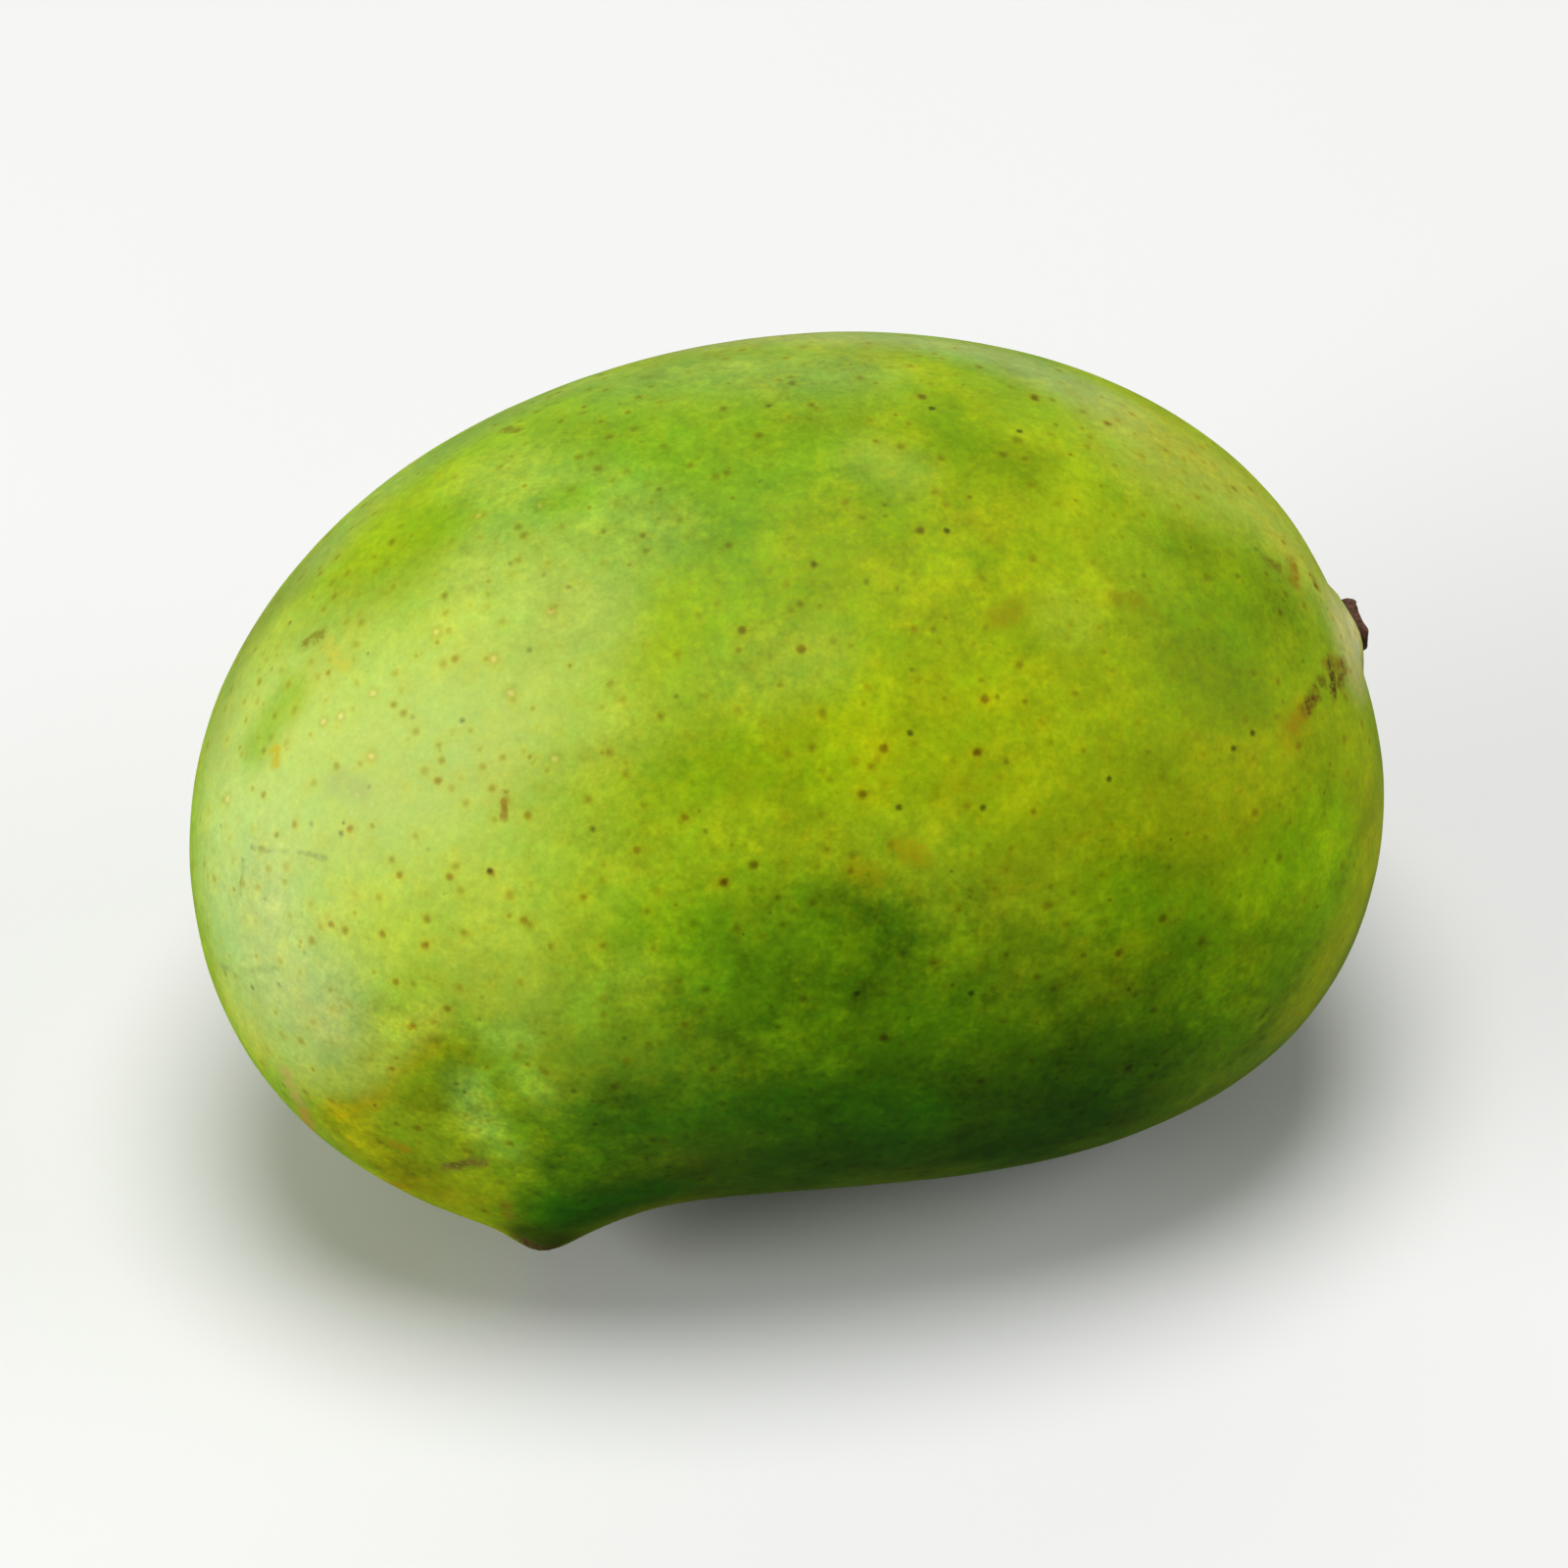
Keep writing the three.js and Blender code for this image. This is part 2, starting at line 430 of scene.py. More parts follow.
# Tones of the skin, one over the other: path, reach in millimetres, colour, share, how mottled it is
skinTones = {
    "backGreen": tone([(-0.3, 0.7, -0.7), (0.1, 0.3, -1)], 17, (0.23, 0.41, 0.015), 0.7, 0.4),
    "backYellow": tone([(0.45, 0.55, -0.8), (0.7, 0.2, -0.8)], 15, (0.4, 0.5, 0.004), 0.7, 0.4),
    "farNosePale": tone([(-0.9, 0.3, -0.4), (-0.8, -0.1, -0.6)], 13, (0.42, 0.54, 0.08), 0.7, 0.2),
    "farStemGreen": tone([(0.9, -0.2, -0.4), (0.8, -0.1, -0.6)], 9, (0.22, 0.39, 0.004), 0.7, 0.4),
    # darker green on the underside: partly the skin's own deeper green, partly painted shade
    "underDeepAndShade": tone([(-0.1, -0.8, -0.75), (0.5, -0.8, -0.7)], 23, (0.05, 0.16, 0.002), 0.85, 1),
    "rightYellow": tone([(840, 285), (1040, 325)], 16, (0.38, 0.472, 0.001), 0.85, 0.45),
    "topLeaf": tone([(725, 112), (805, 114)], 6.5, (0.255, 0.405, 0.072), 0.75, 0.5),
    "topGreen": tone([(700, 170), (790, 195)], 11, (0.175, 0.345, 0.01), 0.85, 0.5),
    "topMist": tone([(640, 168), (705, 200)], 5, (0.28, 0.42, 0.065), 0.6, 0.5),
    "leftMist": tone([(625, 212), (680, 240)], 4.5, (0.35, 0.48, 0.1), 0.5, 0.4),
    "centrePale": tone([(700, 303), (752, 280), (805, 261)], 3.2, (0.34, 0.46, 0.04), 0.6, 0.4),
    "topYellow": tone([(814, 207), (880, 215)], 6, (0.295, 0.38, 0.0005), 0.8, 0.5),
    "centreBright": tone([(873, 231), (890, 239)], 3, (0.48, 0.58, 0.003), 0.5, 0.5),
    "topShade": tone([(880, 156), (905, 162)], 3.5, (0.115, 0.23, 0.001), 0.68, 0.5),
    "topDark": tone([(785, 142), (870, 130)], 3.5, (0.175, 0.31, 0.004), 0.5, 0.5),
    # painted sheen: a pale band along the top edge of the outline
    "topRimSheen": tone([(730, 97), (810, 93), (890, 101), (960, 130)], 3.8, (0.42, 0.49, 0.2), 0.6, 0.3),
    "leftRim": tone([(533, 222), (512, 245), (492, 300)], 4.8, (0.2, 0.275, 0.05), 0.7, 0.2),
    "rimGreen": tone([(540, 258), (560, 228), (590, 204)], 5.2, (0.22, 0.335, 0.006), 0.8, 0.3),
    # painted sheen: the pale band goes on along the upper left edge
    "leftRimSheen": tone([(550, 203), (575, 176), (612, 150), (680, 117)], 3.4, (0.27, 0.38, 0.1), 0.45, 0.3),
    # painted sheen: a milky pale veil near the right shoulder's edge
    "shoulderRimSheen": tone([(985, 150), (1050, 200)], 6.5, (0.46, 0.51, 0.07), 0.75, 0.3),
    "shoulderShade": tone([(1000, 205), (1010, 212)], 3.2, (0.13, 0.22, 0.001), 0.65, 0.5),
    "stemGreen": tone([(1015, 255), (1040, 235)], 6, (0.2, 0.33, 0.001), 0.8, 0.5),
    # partly painted highlight of the left lamp, partly the skin's own pale bloom
    "leftHighlightAndBloom": tone([(530, 330), (605, 310), (600, 355)], 13, (0.5, 0.6, 0.155), 0.9, 0),
    "leftLow": tone([(570, 440), (655, 395)], 8, (0.475, 0.615, 0.033), 0.7, 0.35),
    "noseFoot": tone([(505, 450), (526, 473)], 4, (0.64, 0.69, 0.11), 0.55, 0.3),
    "leftInner": tone([(690, 345), (695, 395)], 6, (0.33, 0.48, 0.005), 0.6, 0.45),
    "cheekGreen": tone([(718, 402), (742, 408)], 3, (0.18, 0.4, 0.004), 0.5, 0.7),
    "noseBloom": tone([(503, 375), (530, 435)], 8, (0.5, 0.62, 0.21), 0.8, 0.2),
    "centreGreen": tone([(750, 322), (775, 338)], 7, (0.225, 0.355, 0.002), 0.75, 0.5),
    "centreYellow": tone([(735, 362), (790, 372), (855, 370)], 4, (0.43, 0.54, 0.012), 0.62, 0.5),
    # painted light: lighter green on the lower right, where the lamps reach little
    "rightLowPaintedLight": tone([(1012, 450), (1040, 410), (1065, 380)], 7.5, (0.345, 0.66, 0.001), 0.8, 0.6),
    "rightGreen": tone([(965, 385), (1005, 430)], 5, (0.21, 0.47, 0.001), 0.6, 0.7),
    # painted rim light: a pale band along the right edge
    "rightRimGlow": tone([(1090, 320), (1095, 350)], 5, (0.5, 0.61, 0.004), 0.75, 0.3),
    # darker green towards the lower belly edge: partly the skin's own deeper green, partly painted shade
    "bellyGreen": tone([(795, 450), (970, 475)], 12.5, (0.112, 0.295, 0.001), 0.9, 1.1),
    "bellyDeepAndShade": tone([(765, 530), (850, 518), (930, 508)], 10, (0.011, 0.085, 0.001), 0.85, 0.8),
    "bellyLowAndShade": tone([(742, 498), (850, 498)], 5, (0.038, 0.215, 0.001), 0.6, 1),
    "sideYellow": tone([(888, 412), (915, 408)], 3, (0.3, 0.46, 0.002), 0.5, 0.8),
    "darkPatch": tone([(822, 407), (839, 418)], 4.3, (0.09, 0.2, 0.001), 0.75, 1.2),
    "beakPale": tone([(600, 475), (640, 515)], 6, (0.33, 0.565, 0.014), 0.7, 1.2),
    # darker green towards the beak and the lower edge: partly deeper green skin, partly painted shade; the
    # beak tip is painted shade
    "beakDeep": tone([(672, 548), (688, 520), (700, 505)], 5.5, (0.045, 0.19, 0.001), 0.8, 1.3),
    "beakFoot": tone([(666, 555), (715, 541)], 4, (0.017, 0.15, 0.001), 0.85, 0.8),
    "beakTip": tone([(650, 562), (664, 567)], 2.4, (0.025, 0.065, 0.002), 0.9, 0.6),
    "ochreEdge": tone([(558, 508), (588, 532)], 3.4, (0.32, 0.335, 0.001), 0.9, 1),
    "goldEdge": tone([(549, 500), (562, 502)], 1.5, (0.37, 0.43, 0.003), 0.6, 0.8),
    "creaseGold": tone([(552, 501), (576, 490), (587, 476), (605, 463)], 1.1, (0.44, 0.39, 0.002), 0.7, 0.6),
    # painted light: the pale side above the crease, which faces the lamps
    "creaseLitSide": tone([(557, 484), (602, 449)], 1.7, (0.6, 0.68, 0.08), 0.5, 0.4),
    "noseMottle": tone([(520, 405), (545, 440)], 4, (0.53, 0.62, 0.22), 0.35, 0.4),
    "greyMottle": tone([(515, 375), (520, 385)], 2.5, (0.53, 0.6, 0.24), 0.3, 0.4),
    "beakBloom": tone([(618, 484), (628, 506)], 2, (0.44, 0.76, 0.12), 0.6, 1.1),
    "lowBloom": tone([(632, 517), (642, 520)], 1.7, (0.23, 0.47, 0.05), 0.45, 1),
    "highBloom": tone([(638, 460), (652, 459)], 1.6, (0.43, 0.69, 0.07), 0.6, 1),
    "sideBloom": tone([(652, 480), (658, 488)], 1.6, (0.37, 0.68, 0.06), 0.6, 1),
    "cheekBloom": tone([(686, 442), (706, 428)], 2.6, (0.43, 0.7, 0.035), 0.55, 0.9),
    # painted shade below the crease towards the beak, over olive skin
    "beakOliveShade": tone([(594, 492), (616, 470)], 2.1, (0.2, 0.28, 0.001), 0.74, 0.6),
    "beakShade": tone([(638, 499), (664, 514)], 2.2, (0.13, 0.3, 0.002), 0.45, 1),
    "greenStreak": tone([(575, 194), (612, 189)], 2, (0.22, 0.37, 0.006), 0.35, 0.4),
    "greenSpot": tone([(668, 180), (680, 177)], 1.7, (0.225, 0.4, 0.006), 0.6, 0.4),
    "topBloom": tone([(830, 158), (848, 165)], 2.6, (0.27, 0.39, 0.055), 0.45, 0.3),
    "rightBloom": tone([(930, 238), (940, 243)], 2.2, (0.53, 0.64, 0.03), 0.55, 0.3),
    "stemOchre": tone([(1051, 300), (1058, 291)], 1.5, (0.46, 0.37, 0.002), 0.6, 0.4),
    "noseGreen": tone([(512, 308), (531, 282)], 2.1, (0.21, 0.34, 0.001), 0.62, 0.3),
    # painted reflected light: a pale band along the lower right edge
    "limbRimGlow": tone([(1099, 350), (1092, 378), (1081, 404), (1066, 432), (1060, 442)], 4,
                     (0.62, 0.7, 0.004), 0.75, 0.3),
    "farBloom": tone([(-0.5, 0.3, -0.75), (-0.45, 0.1, -0.75)], 6, (0.42, 0.54, 0.15), 0.5, 0.4),
    "collarFront": tone([(1077, 236), (1085, 268)], 2.6, (0.7, 0.65, 0.24), 0.6, 0.3),
    "collarPale": tone([(1, 0.08, -0.04), (1, 0.08, 0), (1082, 250)], 4.2, (0.75, 0.7, 0.28), 0.86, 0.3),
    "collarWhite": tone([(1084, 244), (1091, 266)], 1.3, (0.85, 0.82, 0.5), 0.6, 0.1),
}


def mark(path, reach, colour, share):
    return {"path": path, "reach": reach * mm, "colour": (*colour, 1), "share": share}


# Scars, scratches and smudges: path, reach in millimetres, colour, share
skinMarks = {
    "longScratch": mark([(482, 392), (534, 396)], 0.3, (0.22, 0.29, 0.07), 0.7),
    "upperScratch": mark([(509, 361), (547, 366)], 0.35, (0.24, 0.3, 0.09), 0.65),
    "lowerScratch": mark([(493, 423), (523, 424)], 0.35, (0.27, 0.33, 0.1), 0.6),
    "crossScratch": mark([(504, 367), (503, 385)], 0.3, (0.22, 0.28, 0.09), 0.6),
    "pinkEdge": mark([(526, 478), (533, 493)], 1.1, (0.56, 0.39, 0.11), 0.65),
    "orangePink": mark([(536, 499), (546, 516)], 1.0, (0.52, 0.28, 0.05), 0.8),
    "orangeEdge": mark([(562, 527), (577, 535)], 1.1, (0.5, 0.26, 0.012), 0.85),
    "orangeHigh": mark([(583, 516), (588, 518)], 0.8, (0.46, 0.31, 0.004), 0.7),
    "orangeLow": mark([(583, 537), (588, 538)], 0.8, (0.48, 0.32, 0.004), 0.75),
    "brownSmudge": mark([(612, 528), (627, 525)], 0.9, (0.24, 0.17, 0.03), 0.85),
    "smudgeCore": mark([(615, 527), (621, 526)], 0.5, (0.1, 0.07, 0.015), 0.6),
    "beakScar": mark([(651, 567), (663, 571)], 1.3, (0.1, 0.05, 0.022), 1),
    "beakSpot": mark([(642, 547), (643, 554)], 0.7, (0.3, 0.24, 0.01), 0.6),
    "rimOlive": mark([(536, 255), (545, 249)], 0.8, (0.2, 0.19, 0.012), 0.85),
    "rimYellow": mark([(549, 255), (557, 265)], 0.9, (0.52, 0.5, 0.05), 0.7),
    "noseOrange": mark([(521, 310), (521, 316)], 0.8, (0.5, 0.4, 0.008), 0.8),
    "leftDash": mark([(641, 332), (640, 346)], 0.4, (0.3, 0.2, 0.02), 0.85),
    "leftGrey": mark([(553, 326), (566, 331)], 1.4, (0.36, 0.39, 0.13), 0.5),
    "topOlive": mark([(641, 142), (649, 142)], 0.6, (0.2, 0.18, 0.01), 0.85),
    "russetSpot": mark([(899, 240), (906, 238)], 1.2, (0.32, 0.26, 0.002), 0.7),
    "russetPair": mark([(962, 231), (972, 233)], 1.0, (0.28, 0.25, 0.002), 0.65),
    "shoulderOlive": mark([(1040, 211), (1045, 214)], 0.7, (0.2, 0.17, 0.006), 0.85),
    "shoulderOchre": mark([(1053, 212), (1054, 222)], 0.9, (0.34, 0.22, 0.005), 0.9),
    "shoulderDash": mark([(1064, 221), (1065, 224)], 0.6, (0.2, 0.18, 0.006), 0.8),
    "stemScarRim": mark([(1071, 265), (1080, 265)], 0.9, (0.32, 0.24, 0.01), 0.85),
    "stemScarLeft": mark([(1073, 265), (1074, 279)], 0.75, (0.13, 0.08, 0.008), 1),
    "stemScarRight": mark([(1079, 265), (1078, 276)], 0.6, (0.19, 0.12, 0.01), 0.95),
    "stemScarSide": mark([(1067, 273), (1069, 274)], 0.6, (0.15, 0.14, 0.006), 0.85),
    "stemStreak": mark([(1065, 280), (1059, 290)], 0.75, (0.17, 0.075, 0.006), 1),
    "streakTail": mark([(1057, 291), (1053, 298)], 0.8, (0.42, 0.3, 0.004), 0.75),
    "yellowMark": mark([(850, 362), (858, 366)], 1.2, (0.42, 0.33, 0.002), 0.65),
    "yellowLow": mark([(829, 374), (835, 377)], 1.2, (0.42, 0.38, 0.002), 0.6),
    "farScar": mark([(-0.2, 0.35, -0.85), (-0.12, 0.3, -0.85)], 1.2, (0.22, 0.15, 0.025), 0.85),
    "farScratch": mark([(0.3, 0.5, -0.75), (0.38, 0.38, -0.8)], 0.35, (0.24, 0.23, 0.05), 0.8),
}

# Specks that stand out one by one, at pixels of the photograph. Sizes are in millimetres.
# A speck and the skin round it are the skin's own colour, times "tint" and "round".
singleSpecks = {
    "black": {
        "pixels": [
            (1032, 301), (1022, 309), (957, 325), (825, 437), (885, 437), (864, 131), (910, 143), (853, 301),
            (872, 195), (891, 340), (847, 340), (633, 373),
        ],
        "size": 0.48, "tint": (0.28, 0.26, 0.4, 1), "round": (1.06, 1.04, 1.1, 1),
    },
    "brown": {
        "pixels": [
            (858, 195), (888, 311), (828, 333), (839, 309), (892, 283), (796, 257), (765, 247), (956, 139),
            (918, 126), (859, 125), (756, 379), (771, 370), (839, 460), (967, 476), (962, 416), (985, 398),
        ],
        "size": 0.66, "tint": (0.55, 0.38, 0.3, 1), "round": (1.08, 0.97, 0.8, 1),
    },
    "rusty": {
        "pixels": [
            (584, 431), (550, 401), (612, 376), (577, 406), (651, 399), (611, 445), (593, 454), (710, 362),
            (586, 375), (634, 374), (653, 344), (560, 351), (606, 326), (755, 379), (599, 412), (735, 345),
        ],
        "size": 0.55, "tint": (0.7, 0.5, 0.32, 1), "round": (1.06, 0.97, 0.8, 1),
    },
    "pale": {
        "pixels": [
            (627, 187), (659, 182), (496, 335), (911, 517), (546, 295), (555, 292), (635, 262), (572, 280),
            (605, 248), (644, 280), (665, 237), (571, 313), (667, 314),
        ],
        "size": 0.42, "tint": (1.5, 1.25, 2.2, 1), "round": (0.95, 0.84, 0.7, 1),
    },
}

# Specks scattered all over, in the same way
scatteredSpecks = {
    "pore": {
        "spacing": 0.95, "size": 0.45, "amount": 0.5,
        "tint": (1.12, 1.06, 1.3, 1), "round": (1, 1, 1, 1),
    },
    "tan": {
        "spacing": 1.75, "size": 0.7, "amount": 0.7,
        "tint": (0.66, 0.48, 0.3, 1), "round": (1.06, 0.98, 0.8, 1),
    },
    "dark": {
        "spacing": 2.3, "size": 0.52, "amount": 0.4,
        "tint": (0.4, 0.36, 0.4, 1), "round": (1.02, 1, 1, 1),
    },
}

skinLook = {
    "leaf": Vector((0.27, 0.43, 0.018)),
    "yellowGreen": Vector((0.37, 0.48, 0.007)),
    "mottle": 0.35,
    "hueSize": 26 * mm,
    "hueRange": 0.3,
    "wanderSize": 14 * mm,
    "wanderReach": 3 * mm,
    "wanderSeed": 5,
    "wideReach": 9 * mm,  # of the tones that wander that far, while narrower ones wander less
    "toneEdge": (0.2, 1.8),  # where a tone starts to fade and where it ends, in reaches from its path
    "coarseCloud": {"size": 7 * mm, "detail": 4.0, "roughness": 0.85},
    "fineCloud": {"size": 0.8 * mm, "detail": 3.0, "roughness": 0.8},
    "fineRange": (0.25, 0.75),  # from the smoothest to the roughest skin
    "jitter": 0.4 * mm,  # of the outlines of specks
    "markWanderSize": 1.8 * mm,
    "markWanderReach": 1.3 * mm,
    "fleckEdge": (0.44, 0.68),
    "fleckTint": (1.75, 1.42, 1.1, 1),
    "shadeDepth": (0.2, 1.9),  # where it isn't mottled, and what full mottling adds
    "fineDepth": (0.33, 0.75),  # where it isn't mottled, and from "fineMottle" up
    "fineMottle": 0.6,
    "hueDepth": (0.75, 1.3),  # as the shade's
    "greener": (0.74, 1.05, 1, 1),
    "yellower": (1.16, 1, 0.8, 1),
    "roughness": (0.44, 0.58),
    "specular": 0.08,
    "grainHeight": 0.5,
    "pitDepth": 0.4,
    "bumpStrength": 0.2,
    "bumpHeight": 0.15 * mm,
}


def paintTones(bm, find):
    # each corner of the skin gets its tone, and how mottled it is there
    toneLayer = bm.verts.layers.float_color.new("tone")
    mottleLayer = bm.verts.layers.float.new("mottle")
    paths = {name: [find(place) for place in patch["path"]] for name, patch in skinTones.items()}
    noise.seed_set(skinLook["wanderSeed"])  # otherwise the wander differs from run to run
    for v in bm.verts:
        wander = noise.noise_vector(v.co / skinLook["wanderSize"]) * skinLook["wanderReach"]
        swing = noise.noise((v.co + wander) / skinLook["hueSize"])
        hue = smoothStep(swing, -skinLook["hueRange"], skinLook["hueRange"])
        colour = skinLook["leaf"].lerp(skinLook["yellowGreen"], hue)
        mottle = skinLook["mottle"]
        for name, patch in skinTones.items():
            place = v.co + wander * min(1, patch["reach"] / skinLook["wideReach"])
            away = distanceTo(place, paths[name]) / patch["reach"]
            share = patch["share"] * (1 - smoothStep(away, *skinLook["toneEdge"]))
            colour = colour.lerp(patch["colour"], share)
            mottle += (patch["mottle"] - mottle) * share
        v[toneLayer] = (*colour, 1)
        v[mottleLayer] = mottle
    print("skin toned")


def speckled(tree, colour, kind, speck, halo):
    # a speck, and the changed skin round it
    colour = mixed(tree, halo, colour, kind["round"], "MULTIPLY")
    return mixed(tree, speck, colour, kind["tint"], "MULTIPLY")


def makeSkinMaterial(marks, specks, find):
    material = bpy.data.materials.new("greenSkin")
    material.use_nodes = True
    tree = material.node_tree
    shader = tree.nodes["Principled BSDF"]
    position = addNode(tree, "TexCoord", {}).outputs["Object"]
    colour = addNode(tree, "Attribute", {}, attribute_name="tone").outputs["Color"]
    mottle = addNode(tree, "Attribute", {}, attribute_name="mottle").outputs["Fac"]
    clouds = cloud(tree, position, **skinLook["coarseCloud"])
    coarse = addNode(tree, "SeparateColor", {0: clouds.outputs[1]}).outputs
    fine = cloud(tree, position, **skinLook["fineCloud"]).outputs
    jitter = vectorMaths(tree, "SUBTRACT", fine[1], (0.5, 0.5, 0.5))
    jittered = vectorMaths(tree, "ADD", position, scaled(tree, jitter, skinLook["jitter"]))
    wandering = warped(tree, jittered, skinLook["markWanderSize"], skinLook["markWanderReach"])

    # mottling: flecks in the deep tones, then light and shade, then hue
    fleck = maths(tree, "MULTIPLY", mottle, ramp(tree, coarse[2], *skinLook["fleckEdge"]))
    colour = mixed(tree, fleck, colour, mixed(tree, 1.0, colour, skinLook["fleckTint"], "MULTIPLY"))
    plain, added = skinLook["shadeDepth"]
    depth = maths(tree, "ADD", maths(tree, "MULTIPLY", mottle, added), plain)
    shade = maths(tree, "MULTIPLY", maths(tree, "SUBTRACT", coarse[0], 0.5), depth)
    fineDepth = ramp(tree, mottle, 0.0, skinLook["fineMottle"], *skinLook["fineDepth"])
    fineShade = maths(tree, "MULTIPLY", maths(tree, "SUBTRACT", fine[0], 0.5), fineDepth)
    shade = maths(tree, "ADD", shade, fineShade)
    colour = mixed(tree, 1.0, colour, maths(tree, "ADD", shade, 1.0), "MULTIPLY")
    plain, added = skinLook["hueDepth"]
    hueDepth = maths(tree, "ADD", maths(tree, "MULTIPLY", mottle, added), plain)
    hue = maths(tree, "MULTIPLY", maths(tree, "SUBTRACT", coarse[1], 0.5), hueDepth)
    hue = maths(tree, "ADD", hue, 0.5, clamp=True)
    yellowing = mixed(tree, hue, skinLook["greener"], skinLook["yellower"])
    colour = mixed(tree, 1.0, colour, yellowing, "MULTIPLY")

    for single in skinMarks.values():
        path = [find(place) for place in single["path"]]
        mask = 0.0
        for start, end in zip(path, path[1:]):
            sockets = {"Position": wandering, "Start": start, "End": end,
                       "Reach": single["reach"], "Grain": fine[0]}
            mask = maths(tree, "MAXIMUM", mask, placeGroup(tree, marks, sockets)["Mask"])
        colour = mixed(tree, maths(tree, "MULTIPLY", mask, single["share"]), colour, single["colour"])

    pits = 0.0
    for kind in scatteredSpecks.values():
        sockets = {"Position": jittered, "Spacing": kind["spacing"] * mm, "Size": kind["size"] * mm,
                   "Amount": kind["amount"]}
        found = placeGroup(tree, specks, sockets)
        strength = ramp(tree, found["Chance"], 0.0, 1.0, speckLook["faintest"], 1.0)
        shown = maths(tree, "MULTIPLY", found["Speck"], strength)
        colour = speckled(tree, colour, kind, shown, found["Halo"])
        pits = maths(tree, "MAXIMUM", pits, shown)
    for kind in singleSpecks.values():
        away = 1.0
        for pixel in kind["pixels"]:
            away = maths(tree, "MINIMUM", away, vectorMaths(tree, "DISTANCE", jittered, find(pixel)))
        size = kind["size"] * mm
        speck = ramp(tree, away, speckLook["core"] * size, size, 1.0, 0.0)
        halo = ramp(tree, away, speckLook["core"] * size, speckLook["halo"] * size, 1.0, 0.0)
        colour = speckled(tree, colour, kind, speck, halo)
        pits = maths(tree, "MAXIMUM", pits, speck)
    tree.links.new(colour, shader.inputs["Base Color"])

    roughness = ramp(tree, fine[0], *skinLook["fineRange"], *skinLook["roughness"])
    tree.links.new(roughness, shader.inputs["Roughness"])
    grain = maths(tree, "MULTIPLY", fine[0], skinLook["grainHeight"])
    height = maths(tree, "SUBTRACT", grain, maths(tree, "MULTIPLY", pits, skinLook["pitDepth"]))
    sockets = {"Strength": skinLook["bumpStrength"], "Distance": skinLook["bumpHeight"], "Height": height}
    tree.links.new(addNode(tree, "Bump", sockets).outputs[0], shader.inputs["Normal"])
    shader.inputs["Specular IOR Level"].default_value = skinLook["specular"]
    return material


stubLook = {
    "bark": (0.05, 0.018, 0.006, 1),
    "fibre": (0.14, 0.055, 0.022, 1),
    "crater": (0.008, 0.004, 0.003, 1),
    "plug": (0.1, 0.055, 0.03, 1),
    "wanderSize": 0.8 * mm,
    "wanderReach": 0.5 * mm,
    "grainCloud": {"size": 0.5 * mm, "detail": 4.0, "roughness": 0.65},
    "grainRange": (0.3, 0.7),
    "fibreEdge": (0.4, 0.68),
    "craterHeight": 1.3 * mm,  # above the skin of the basin
    "craterReach": 0.9 * mm,
    "plugHeight": 1.9 * mm,
    "plugReach": 0.45 * mm,
    "roughness": (0.95, 0.7),
    "bumpStrength": 0.7,
    "bumpHeight": 0.2 * mm,
}


def makeStubMaterial(marks):
    material = bpy.data.materials.new("dryStalk")
    material.use_nodes = True
    tree = material.node_tree
    shader = tree.nodes["Principled BSDF"]
    position = addNode(tree, "TexCoord", {}).outputs["Object"]
    jittered = warped(tree, position, stubLook["wanderSize"], stubLook["wanderReach"])
    grain = cloud(tree, position, **stubLook["grainCloud"]).outputs[0]
    fibre = ramp(tree, grain, *stubLook["fibreEdge"])
    colour = mixed(tree, fibre, stubLook["bark"], stubLook["fibre"])
    for spot in ("crater", "plug"):
        place = toStub.inverted() @ Vector((0, 0, stubLook[spot + "Height"]))
        sockets = {"Position": jittered, "Start": place, "End": place,
                   "Reach": stubLook[spot + "Reach"], "Grain": grain}
        colour = mixed(tree, placeGroup(tree, marks, sockets)["Mask"], colour, stubLook[spot])
    tree.links.new(colour, shader.inputs["Base Color"])
    roughness = ramp(tree, grain, *stubLook["grainRange"], *stubLook["roughness"])
    tree.links.new(roughness, shader.inputs["Roughness"])
    sockets = {"Strength": stubLook["bumpStrength"], "Distance": stubLook["bumpHeight"], "Height": grain}
    tree.links.new(addNode(tree, "Bump", sockets).outputs[0], shader.inputs["Normal"])
    return material


# Studio

studio = {
    "floorSide": 12,
    "floorColour": (0.92, 0.92, 0.91, 1),  # as the camera sees it
    "floorBounce": (0.2, 0.2, 0.2, 1),  # as it lights the fruit
    "floorCloud": 0.2,  # size of its faint clouds
    "floorRange": (0.3, 0.7),
    "floorShade": (0.98, 1.0),
    "floorRoughness": 0.9,
    "floorSpecular": 0.1,
    "skyLight": 0.06,  # as it lights the fruit
    "skyGloss": 0.5,  # as the skin mirrors it
    "skySeen": 0.9,  # as the camera sees it
    "lightDistance": 1.3,
    "lights": {
        "left": {"from": (-1.3, -0.2, 0.3), "size": 0.8, "power": 14},
        "top": {"from": (0, 0.1, 1.4), "size": 0.8, "power": 12},
        "right": {"from": (1.2, -0.3, 0.6), "size": 0.8, "power": 4},
        "back": {"from": (0.1, 1.0, 0.6), "size": 1.4, "power": 2},
    },
}


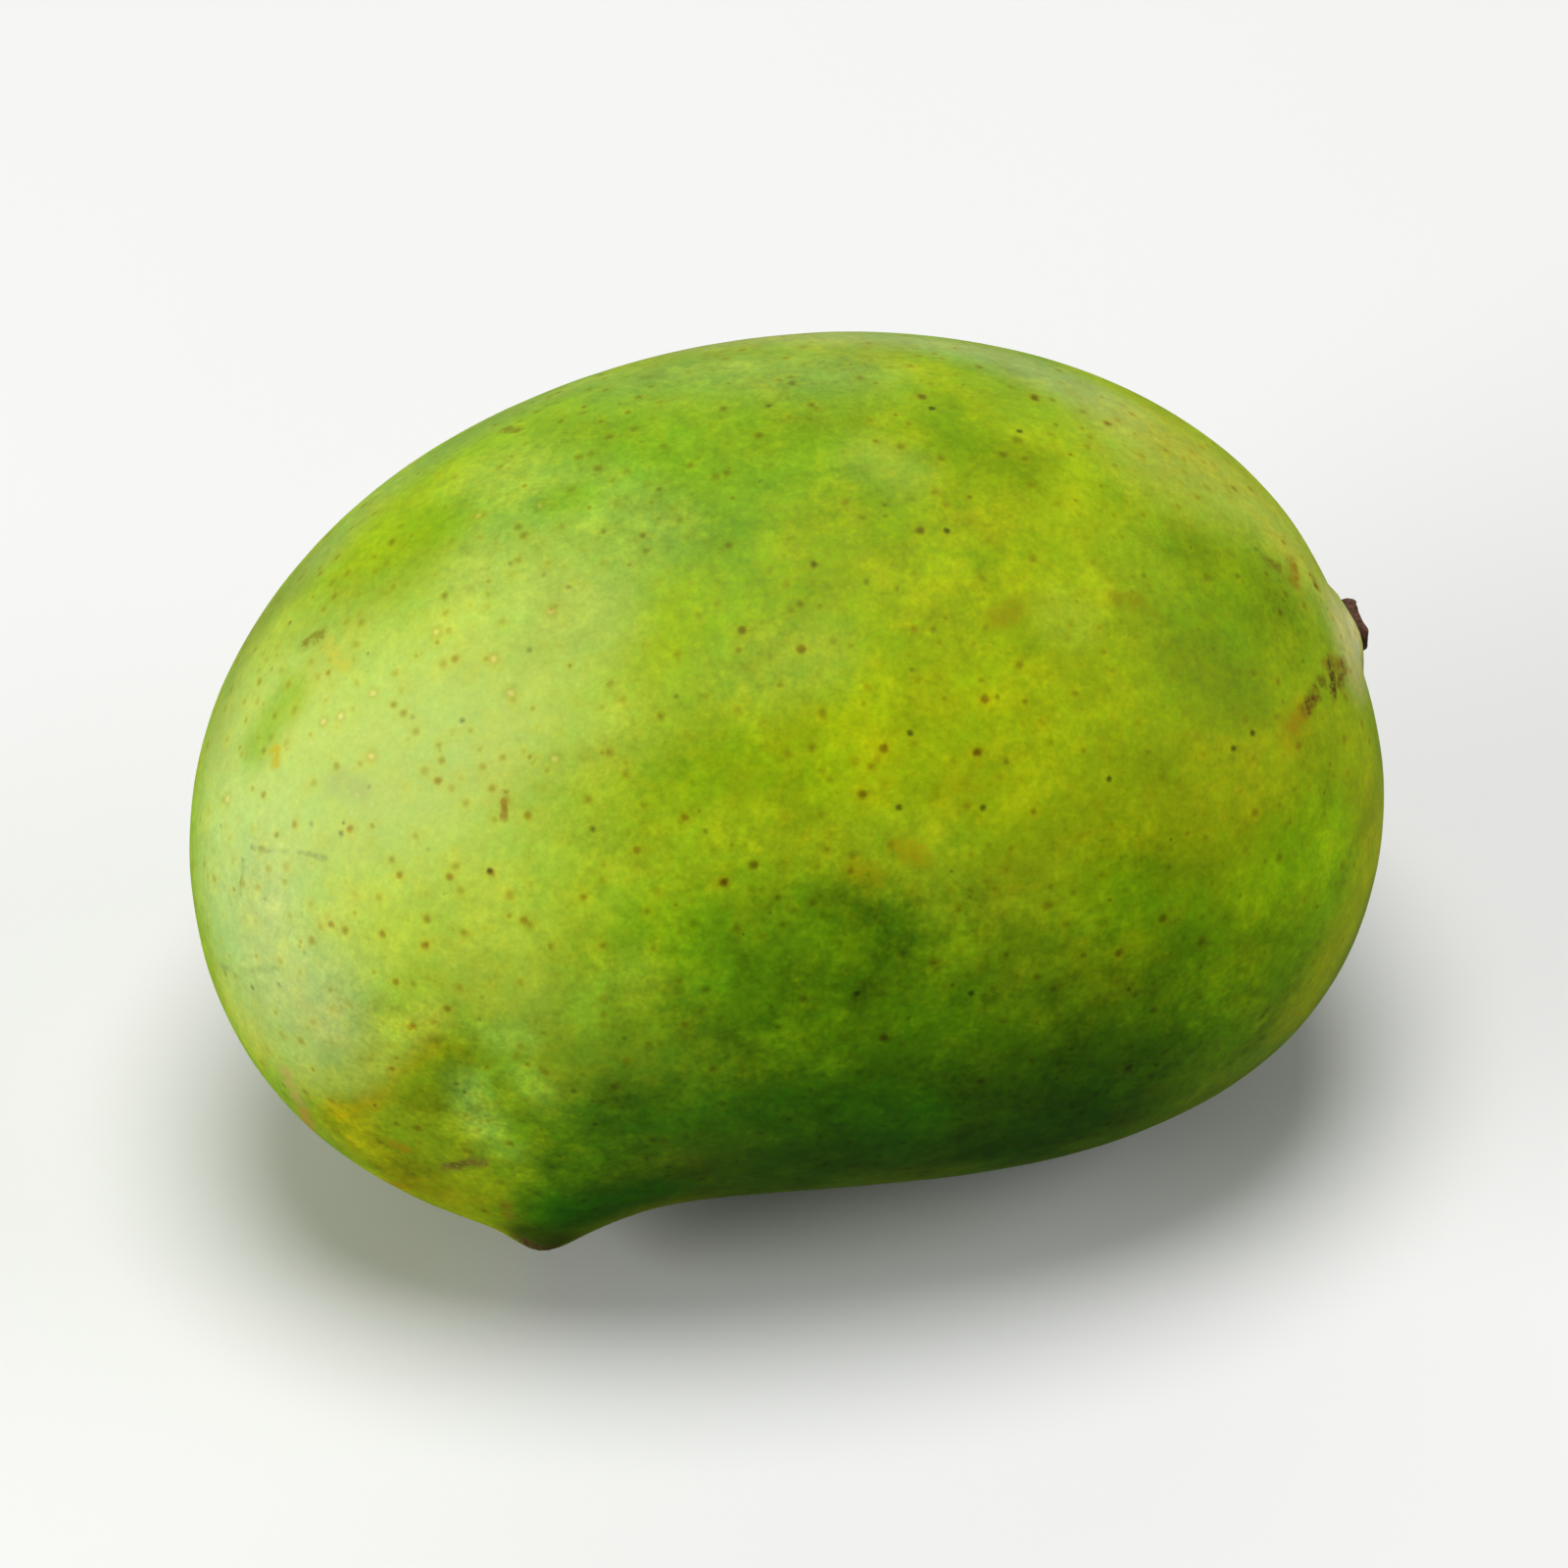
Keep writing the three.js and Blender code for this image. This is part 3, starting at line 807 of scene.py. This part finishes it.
def makeFloor():
    bm = bmesh.new()
    bmesh.ops.create_grid(bm, x_segments=8, y_segments=8, size=studio["floorSide"] / 2)
    mesh = bpy.data.meshes.new("floor")
    bm.to_mesh(mesh)
    bm.free()
    floor = bpy.data.objects.new("floor", mesh)
    bpy.context.scene.collection.objects.link(floor)
    paper = bpy.data.materials.new("palePaper")
    paper.use_nodes = True
    tree = paper.node_tree
    shader = tree.nodes["Principled BSDF"]
    position = addNode(tree, "TexCoord", {}).outputs["Object"]
    clouds = cloud(tree, position, studio["floorCloud"]).outputs[0]
    tint = ramp(tree, clouds, *studio["floorRange"], *studio["floorShade"])
    seen = mixed(tree, 1.0, studio["floorColour"], tint, "MULTIPLY")
    toCamera = addNode(tree, "LightPath", {}).outputs["Is Camera Ray"]
    tree.links.new(mixed(tree, toCamera, studio["floorBounce"], seen), shader.inputs["Base Color"])
    shader.inputs["Roughness"].default_value = studio["floorRoughness"]
    shader.inputs["Specular IOR Level"].default_value = studio["floorSpecular"]
    mesh.materials.append(paper)


def makeLights():
    for name, light in studio["lights"].items():
        lamp = bpy.data.lights.new(name, "AREA")
        lamp.shape = "DISK"
        lamp.size = light["size"]
        lamp.energy = light["power"]
        held = bpy.data.objects.new(name, lamp)
        bpy.context.scene.collection.objects.link(held)
        away = Vector(light["from"]).normalized()
        held.location = lie["middle"] + away * studio["lightDistance"]
        held.rotation_euler = (-away).to_track_quat("-Z", "Y").to_euler()


def makeSky():
    sky = bpy.data.worlds.new("softSky")
    sky.use_nodes = True
    tree = sky.node_tree
    background = tree.nodes["Background"]
    background.inputs["Color"].default_value = (1, 1, 1, 1)
    path = addNode(tree, "LightPath", {}).outputs
    gloss = ramp(tree, path["Is Glossy Ray"], 0.0, 1.0, studio["skyLight"], studio["skyGloss"])
    seen = maths(tree, "MULTIPLY", path["Is Camera Ray"], studio["skySeen"])
    tree.links.new(maths(tree, "MAXIMUM", gloss, seen), background.inputs["Strength"])
    bpy.context.scene.world = sky
    bpy.context.scene.view_settings.view_transform = "Standard"


def makeCamera():
    right, up, back = viewAxes()
    lens = bpy.data.cameras.new("photoView")
    lens.sensor_width = view["sensor"]
    lens.lens = view["sensor"] * view["lensPixels"] / view["sidePixels"]
    lens.clip_end = view["farthest"]
    camera = bpy.data.objects.new("photoView", lens)
    bpy.context.scene.collection.objects.link(camera)
    camera.matrix_world = Matrix.Translation(lie["middle"] + back * view["distance"]) @ Matrix(
        (right, up, back)
    ).transposed().to_4x4()
    bpy.context.scene.camera = camera


makeCamera()
makeFloor()
makeLights()
makeSky()
print("studio ready")
skin = makeSkinShape()
markGroup = makeMarkGroup()
speckGroup = makeSpeckGroup()
find = skinFinder(skin)
paintTones(skin, find)
greenSkin = makeSkinMaterial(markGroup, speckGroup, find)
finishPiece(skin, "mangoSkin", greenSkin, "mango_fruit")
finishPiece(makeStubShape(), "stemStub", makeStubMaterial(markGroup), "stem_stub")
